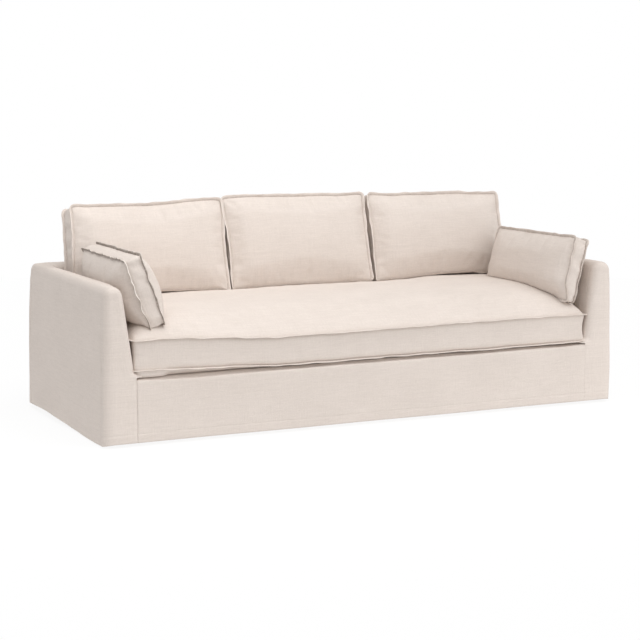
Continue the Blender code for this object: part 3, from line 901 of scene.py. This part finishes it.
seatCushion = {
    "length": 2.177, "width": 0.890, "band": 0.124, "cell": 0.017, "corner": 0.010, "drawIn": 0.003,
    "crown": 0.098, "underCrown": 0.060, "swell": 0.47,
    "fullX": 30, "leftFullX": 10, "rearFullX": 20, "fullY": 2.7, "rearFullY": 6, "underFull": 14,
    "bandBulge": -0.003, "endBulge": -0.008, "cap": 0.012, "bandCap": 0.002,
    "pressure": 1.5, "stiffness": 0.3, "ease": 0.012, "mass": 0.25,
    "pucker": 0.0026, "puckerReach": 0.045, "puckerStep": 0.040, "bandPucker": 0.0020,
    "hollow": 0.004, "crinkle": 0.0006, "seamWave": 0.0018, "seamRipple": 0.085,
    "lip": 0.0125, "lipHalf": 0.0016, "endLip": 1.7, "lipLean": 0.15, "tuck": 0.0, "lipWave": 0.0020,
    "lipRipple": 0.05, "seed": 4, "fill": 0.8,
}
seatLay = {
    "inFront": 0.012,       # depth at which its front band stands
    "left": 0.0005,         # how far left of the middle it lies
    "straight": 0.45,       # from this depth on the flanges run straight, at these heights
    "rearTop": 0.410,
    "rearLow": 0.284,
    "press": 0.009,         # how far the left back cushion presses it down
    "pressRise": 0.05,      # the filling this far over the flange is pressed fully
    "pressFrom": 0.30,      # from this depth on, growing over this length
    "pressRun": 0.25,
    "pressRight": 0.78,     # and left of this place, growing over this length
    "pressFade": 0.3,
    "armClear": 0.0015,
    "armCorner": 0.014,     # how far it may bulge round the arm's front corner
    "bellyFront": 0.037,    # its underside in front of this depth, and this far under the band,
    "bellyUnder": 0.004,
    "bellyForward": 0.025,  # comes forward and down over the rail's edge
    "bellyDown": 0.0035,
    "deckFrom": 0.02,       # from this depth on it rests on the deck
    "deckClear": 0.0005,
    "overhang": -0.006,     # how low it may hang in front of that
}
# heights of the seat cushion's flanges along its front: place, height
seatTopFlange = [
    (0.12, 0.416), (0.25, 0.4165), (0.42, 0.411), (0.51, 0.4065), (0.60, 0.398), (0.70, 0.393), (0.80, 0.392),
    (1.20, 0.393), (1.50, 0.395), (1.75, 0.398), (2.00, 0.399), (2.31, 0.394),
]
seatLowFlange = [
    (0.12, 0.292), (0.25, 0.294), (0.42, 0.288), (0.60, 0.281), (0.78, 0.274), (0.90, 0.273), (2.10, 0.273),
    (2.31, 0.2755),
]
# share by which its belly comes forward over the rail's edge
seatBelly = [(0.12, 0.4), (0.15, 0.8), (0.19, 1), (0.45, 1), (0.80, 0.3), (1.60, 0.2), (2.31, 0.1)]


def seatHeight(point):
    # a point's height, from where it is between the two flanges
    rearward = ease(point.y / seatLay["straight"])
    top = mix(between(point.x, seatTopFlange), seatLay["rearTop"], rearward)
    low = mix(between(point.x, seatLowFlange), seatLay["rearLow"], rearward)
    height = mix(low, top, point.z / seatCushion["band"] + 0.5)
    over = ease((height - top) / seatLay["pressRise"])
    over *= ease((point.y - seatLay["pressFrom"]) / seatLay["pressRun"])
    leftward = ease((seatLay["pressRight"] - point.x) / seatLay["pressFade"])
    return height - seatLay["press"] * over * leftward


def seatAcross(point, height):
    # a point's place across, kept between the arms and their rounded front corners
    radius = sofa["frontCorner"]
    corner = max(radius - point.y, 0)
    beside = radius - math.sqrt(max(radius ** 2 - corner ** 2, 0))
    room = armInner(height) + seatLay["armClear"] - min(beside, seatLay["armCorner"])
    return min(max(point.x, room), sofa["width"] - room)


def settleSeat(points, caseCount):
    under = -seatCushion["band"] / 2 - seatLay["bellyUnder"]
    settled = []
    for index, point in enumerate(points):
        y, height = point.y, seatHeight(point)
        across = seatAcross(point, height)
        if index < caseCount and point.z < under and y < seatLay["bellyFront"]:
            forward = between(point.x, seatBelly)
            y -= seatLay["bellyForward"] * forward
            height = sofa["deck"] - seatLay["bellyDown"] * forward
        lowest = sofa["deck"] + seatLay["deckClear" if y > seatLay["deckFrom"] else "overhang"]
        settled.append(Vector((across, y, max(height, lowest))))
    return settled


def makeSeatCushion(material):
    middle = (sofa["width"] / 2 - seatLay["left"], seatLay["inFront"] + seatCushion["width"] / 2, 0)
    return makeCushion("seat_cushion", seatCushion, Matrix.Translation(middle), material, settleSeat)


def surfaceAt(tree, start, direction):
    # where a line first meets a cushion that is already in place
    return tree.ray_cast(Vector(start), Vector(direction))[0]


lineTop = 2             # lines down to the seat start here
cushionClear = 0.0012   # room between a cushion and the seat


def seatUnder(seat, point):
    # the seat's surface, straight below a point or above it
    return surfaceAt(seat, (point.x, point.y, lineTop), (0, 0, -1))


backCushion = {
    "length": 0.705, "band": 0.104, "cell": 0.0118, "drawIn": 0.006,
    "crown": 0.042, "underCrown": 0.056, "swell": 0.6,
    "fullX": 3.4, "rearFullX": 3.4, "fullY": 3.2, "rearFullY": 6, "frontShare": 0.85, "rearShare": 0.72,
    "bandBulge": 0.003, "cap": 0.010, "bandCap": 0.006,
    "pressure": 3, "stiffness": 0.3, "ease": 0.012, "mass": 0.25,
    "pucker": 0.0034, "puckerReach": 0.035, "puckerStep": 0.035, "bandPucker": 0.0025,
    "hollow": 0.003, "crinkle": 0.0006, "seamWave": 0.0024, "seamRipple": 0.07,
    "lip": 0.0125, "lipHalf": 0.0016, "lipLean": 0.5, "tuck": -0.9, "lipWave": 0.0034, "lipRipple": 0.042,
    "fill": 0.7,
}
# "drops": how far the top edge lies below a straight one, by the place across the cushion
backCushions = [
    {"name": "left", "middle": 0.490, "foot": 0.500, "top": 0.902, "seed": 10, "splay": 0.024,
     "corner": 0.018, "topSpread": (0, 0.007),
     "drops": [(-0.36, 0.009), (-0.29, 0.013), (-0.15, 0.011), (-0.02, 0.012), (0.05, 0.0105), (0.12, 0.007),
               (0.18, 0.0025), (0.26, 0), (0.36, 0.003)],
     "creases": [(0.335, 0.195, 0.285, 0.160, 0.0045, 0.007), (0.30, -0.19, 0.27, -0.12, 0.003, 0.009),
                 (0.335, 0.10, 0.29, 0.105, 0.002, 0.007), (0.10, -0.20, 0.09, -0.14, 0.0025, 0.008)]},
    {"name": "middle", "middle": 1.217, "foot": 0.5135, "top": 0.910, "seed": 20, "splay": 0,
     "corner": 0.012, "topSpread": (0.009, 0),
     "drops": [(-0.36, 0.006), (-0.27, 0), (-0.20, -0.0022), (-0.13, -0.0018), (0, 0), (0.15, 0.002),
               (0.22, 0.007), (0.29, 0.006), (0.36, 0.006)],
     "creases": [(-0.345, 0.195, -0.29, 0.160, 0.008, 0.008), (-0.34, 0.15, -0.28, 0.135, 0.003, 0.008),
                 (0.020, -0.20, 0.024, -0.155, 0.006, 0.006), (-0.21, -0.20, -0.20, -0.13, 0.0025, 0.007),
                 (-0.17, -0.20, -0.165, -0.15, 0.002, 0.006), (0.18, -0.20, 0.17, -0.15, 0.0025, 0.008),
                 (0.33, -0.15, 0.29, -0.13, 0.003, 0.008)]},
    {"name": "right", "middle": 1.953, "foot": 0.5135, "top": 0.903, "seed": 30, "splay": 0,
     "corner": 0.012, "topSpread": (0, 0),
     "drops": [(-0.36, 0.002), (-0.28, 0.0055), (-0.21, 0.009), (-0.14, 0.004), (-0.07, 0.005),
               (0.07, 0.0055), (0.14, 0.0065), (0.21, 0.012), (0.28, 0.016), (0.36, 0.018)],
     "creases": [(-0.34, 0.19, -0.30, 0.165, 0.004, 0.007), (-0.25, -0.20, -0.24, -0.14, 0.0025, 0.008),
                 (0.33, 0.19, 0.30, 0.16, 0.003, 0.008)]},
]
backLay = {
    "lean": 15,             # degrees
    "middle": 0.806,        # depth of the cushions' middle
    "splayRun": 0.33,       # a splayed foot is so fully this far left of the middle
    "topFrom": 0.72,        # heights from which the top edge's shape sets in
    "topRun": 0.15,
    "topReach": 0.3,        # reach of its spread, from the cushion's middle
    "reach": 0.16,          # height of the part that follows the seat
    "full": 0.02,           # height of the part that follows it fully
    "touch": 0.08,          # the part lower than this is laid on the seat, column by column
    "rear": 0.03,           # where it lies this far before the cushions' middle
    "column": 0.02,
    "evenOver": 5,          # columns
    "press": 0.003,         # how far it presses on the seat
    "wallClear": 0.002,     # room to the back frame
}


def restOn(seat, points, caseCount, foot):
    # the lower part follows the seat's swell and presses on it, and nothing goes below its surface
    below = [seatUnder(seat, point) for point in points]
    gaps = {}
    for point, under in zip(points[:caseCount], below):
        if under and point.z < foot + backLay["touch"] and point.y < backLay["middle"] - backLay["rear"]:
            key = round(point.x / backLay["column"])
            gaps[key] = min(gaps.get(key, 1), point.z - under.z + backLay["press"])
    places = sorted(gaps)
    columns = backLay["evenOver"]
    heights = np.pad([gaps[key] for key in places], columns // 2, "edge")
    evened = np.convolve(heights, [1 / columns] * columns, "valid")
    settled = []
    for point, under in zip(points, below):
        if point.z < foot + backLay["reach"]:
            gap = float(np.interp(point.x / backLay["column"], places, evened))
            low = point.z - gap * (1 - ease((point.z - foot - backLay["full"]) / backLay["reach"]))
            point = Vector((point.x, point.y, max(low, under.z + cushionClear) if under else low))
        settled.append(point)
    return settled


def makeBackCushions(material, seat):
    lean, reach = math.radians(backLay["lean"]), backLay["topReach"]
    upright = Matrix.Rotation(math.pi / 2 - lean, 4, "X")
    face, wallTop = sofa["backFace"] - backLay["wallClear"], sofa["armHeight"] + backLay["wallClear"]
    surfaces = {}
    for row in backCushions:
        height = (row["top"] - row["foot"]) / math.cos(lean)
        style = dict(backCushion, **row, width=height)
        middle = (row["middle"], backLay["middle"], (row["foot"] + row["top"]) / 2)
        place = Matrix.Translation(middle) @ upright

        def settle(points, caseCount):
            left, right = row["topSpread"]
            for point in points:
                aside = ease((row["middle"] - point.x) / backLay["splayRun"])
                point.x -= row["splay"] * aside * (1 - ease((point.z - row["foot"]) / height))
                across = point.x - row["middle"]
                high = ease((point.z - backLay["topFrom"]) / backLay["topRun"])
                point.z -= between(across, row["drops"]) * high
                point.x += high * (right * ease(across / reach) - left * ease(-across / reach))
            settled = restOn(seat, points, caseCount, row["foot"])
            for point in settled:
                if point.z < wallTop and point.y > face:
                    point.y = face
            return settled

        surfaces[row["name"]] = makeCushion("back_cushion_" + row["name"], style, place, material, settle)
    return surfaces


pillow = {
    "length": 0.605, "band": 0.066, "cell": 0.0092, "corner": 0.008, "drawIn": 0.002,
    "fullX": 5, "rearFullX": 5, "fullY": 3, "rearFullY": 3, "swell": 0.6, "bandBulge": 0.003,
    "cap": 0.012, "bandCap": 0.006, "pressure": 3, "stiffness": 0.2, "ease": 0.015, "mass": 0.25,
    "pucker": 0.0044, "puckerReach": 0.03, "puckerStep": 0.028, "bandPucker": 0.0032, "hollow": 0.004,
    "crinkle": 0.0006, "seamWave": 0.0024, "seamRipple": 0.045, "lip": 0.0115, "lipHalf": 0.0017,
    "lipLean": 0.30, "tuck": 0.30, "lipWave": 0.0060, "lipRipple": 0.030, "fill": 0.6,
}
pillows = [
    {"name": "left", "middle": (0.2085, 0.350, 0.603), "lean": 20, "turn": -2, "width": 0.298,
     "crown": 0.052, "underCrown": 0.066, "fullY": 2.3, "rearFullY": 2.3, "thinner": 0, "seed": 40,
     "underCreases": [(0.30, 0.14, 0.22, 0.05, 0.011, 0.011), (0.28, 0.02, 0.20, -0.02, 0.005, 0.012)]},
    {"name": "right", "middle": (2.2400, 0.335, 0.6000), "lean": -14.5, "turn": 2.9, "width": 0.284,
     "crown": 0.048, "underCrown": 0.044, "thinner": 0.45, "seed": 50},
]
pillowLay = {
    "thinTop": 0.56,        # the lower front corner may be thinner: below this, over that height,
    "thinRise": 0.10,
    "thinRear": 0.20,       # and before this, over that depth
    "thinRun": 0.16,
    "armClear": 0.003,
    "overArm": 0.004,       # up to this far above the arm it stays off the arm
    "backClear": 0.0015,
}


def makePillows(materials, seat, backs):
    onEdge = Matrix.Rotation(math.radians(90), 4, "Y") @ Matrix.Rotation(math.radians(90), 4, "Z")
    for row in pillows:
        place = Matrix.Translation(row["middle"]) @ Matrix.Rotation(math.radians(row["turn"]), 4, "Z")
        place = place @ Matrix.Rotation(math.radians(-row["lean"]), 4, "Y") @ onEdge
        flat = place.inverted()
        atLeft = row["name"] == "left"

        def settle(points, caseCount):
            settled = []
            for point in points:
                share = row["thinner"] * ease((pillowLay["thinTop"] - point.z) / pillowLay["thinRise"])
                share *= ease((pillowLay["thinRear"] - point.y) / pillowLay["thinRun"])
                local = flat @ point
                local.z += (pillow["band"] / 2 - local.z) * share
                point = place @ local
                under = seatUnder(seat, point)
                if under and point.z < under.z + cushionClear:
                    point.z = under.z + cushionClear
                fromArm = point.x if atLeft else sofa["width"] - point.x
                push = armInner(point.z) + pillowLay["armClear"] - fromArm
                if push > 0 and point.z < sofa["armHeight"] + pillowLay["overArm"]:
                    point.x += push if atLeft else -push
                behind = surfaceAt(backs[row["name"]], (point.x, -1, point.z), (0, 1, 0))
                if behind and point.y > behind.y - pillowLay["backClear"]:
                    point.y = behind.y - pillowLay["backClear"]
                settled.append(point)
            return settled

        style = dict(pillow, **row)
        makeCushion("arm_pillow_" + row["name"], style, place, materials[row["name"]], settle)


studio = {
    "camera": (-2.295, -6.711, 1.488),  # from the front left hem corner, as the sofa
    "azimuth": -25.871,     # degrees
    "pitch": 7.898,
    "lens": 100.6,          # millimetres
    "sensor": 36,
    "far": 60,
    "floor": -0.014,        # below the front hem
    "floorReach": 5.5,
    "floorSides": 72,
    "floorGrey": (0.12, 0.12, 0.12, 1),
    "floorRough": 0.9,
    "floorGlow": 0.88,
    "sky": 0.48,
    "white": (1, 1, 1, 1),
}
lights = [
    {"name": "above", "kind": "SUN", "place": (0.10, -0.32, 1.0), "soft": math.radians(60), "power": 1.3},
    {"name": "front", "kind": "SUN", "place": (0.75, -1.0, 0.62), "soft": math.radians(35), "power": 0.48},
    {"name": "over seat", "kind": "AREA", "place": (0.1, -0.45, 2.3), "soft": 1.3, "power": 3.4},
    {"name": "left", "kind": "AREA", "place": (-1.5, -0.7, 2.6), "soft": 1.2, "power": 12},
    {"name": "right", "kind": "AREA", "place": (1.9, -1.9, 0.5), "soft": 0.8, "power": 3.2},
]


def makeCamera():
    camera = bpy.data.objects.new("camera", bpy.data.cameras.new("camera"))
    camera.location = Vector(studio["camera"]) + toFrame
    camera.rotation_euler = (math.radians(90 - studio["pitch"]), 0, math.radians(studio["azimuth"]))
    camera.data.lens = studio["lens"]
    camera.data.sensor_width = studio["sensor"]
    camera.data.clip_end = studio["far"]
    bpy.context.scene.collection.objects.link(camera)
    bpy.context.scene.camera = camera


def makeFloor():
    # a round pale floor that glows a little, so that it goes over into the background
    level, reach, sides = studio["floor"] + toFrame.z, studio["floorReach"], studio["floorSides"]
    turns = [math.radians(step * 360 / sides) for step in range(sides)]
    mesh = bpy.data.meshes.new("floor")
    ring = [(reach * math.cos(turn), reach * math.sin(turn), level) for turn in turns]
    mesh.from_pydata(ring, [], [tuple(range(sides))])
    floor = bpy.data.objects.new("floor", mesh)
    bpy.context.scene.collection.objects.link(floor)
    material, shader, start = newMaterial("floor")
    shader.inputs["Base Color"].default_value = studio["floorGrey"]
    shader.inputs["Roughness"].default_value = studio["floorRough"]
    shader.inputs["Specular IOR Level"].default_value = 0
    shader.inputs["Emission Color"].default_value = studio["white"]
    shader.inputs["Emission Strength"].default_value = studio["floorGlow"]
    mesh.materials.append(material)


def makeLight():
    # a soft sky that the camera sees as plain white, and the lamps
    world = bpy.data.worlds.new("studio")
    bpy.context.scene.world = world
    world.use_nodes = True
    soft = Wire(world.node_tree.nodes["Background"].outputs[0])
    soft.socket.node.inputs["Strength"].default_value = studio["sky"]
    soft.socket.node.inputs["Color"].default_value = studio["white"]
    white = soft.node("ShaderNodeBackground", {}, {"Color": studio["white"], "Strength": 1.0})
    seen = soft.node("ShaderNodeLightPath", {}, {})
    both = soft.node("ShaderNodeMixShader", {}, {0: seen, 1: soft, 2: white})
    both.feed(world.node_tree.nodes["World Output"], "Surface")
    for row in lights:
        lamp = bpy.data.lights.new(row["name"], row["kind"])
        lamp.energy = row["power"]
        setattr(lamp, "angle" if row["kind"] == "SUN" else "size", row["soft"])
        light = bpy.data.objects.new(row["name"], lamp)
        light.location = row["place"]
        light.rotation_euler = Vector(row["place"]).to_track_quat("Z", "Y").to_euler()
        bpy.context.scene.collection.objects.link(light)
    bpy.context.scene.view_settings.view_transform = "Standard"


# the linens: name, seed, how strongly shade and highlight are painted on the lips
linens = {
    "cover": ("cover linen", 0.0, 0),
    "cushion": ("cushion linen", 40.0, 0.25),
    "left": ("left pillow linen", 80.0, 0.90),
    "right": ("right pillow linen", 120.0, 0.45),
}

makeCamera()
makeFloor()
makeLight()
print("studio ready")
cloths = {key: makeLinen(*row) for key, row in linens.items()}
for side in ("left", "right"):
    makeArm(side, cloths["cover"])
makeRail(cloths["cover"])
makeDeck(cloths["cover"])
makeInsideBack(cloths["cover"])
makeOutsideBack(cloths["cover"])
seatSurface = makeSeatCushion(cloths["cushion"])
backSurfaces = makeBackCushions(cloths["cushion"], seatSurface)
makePillows(cloths, seatSurface, backSurfaces)
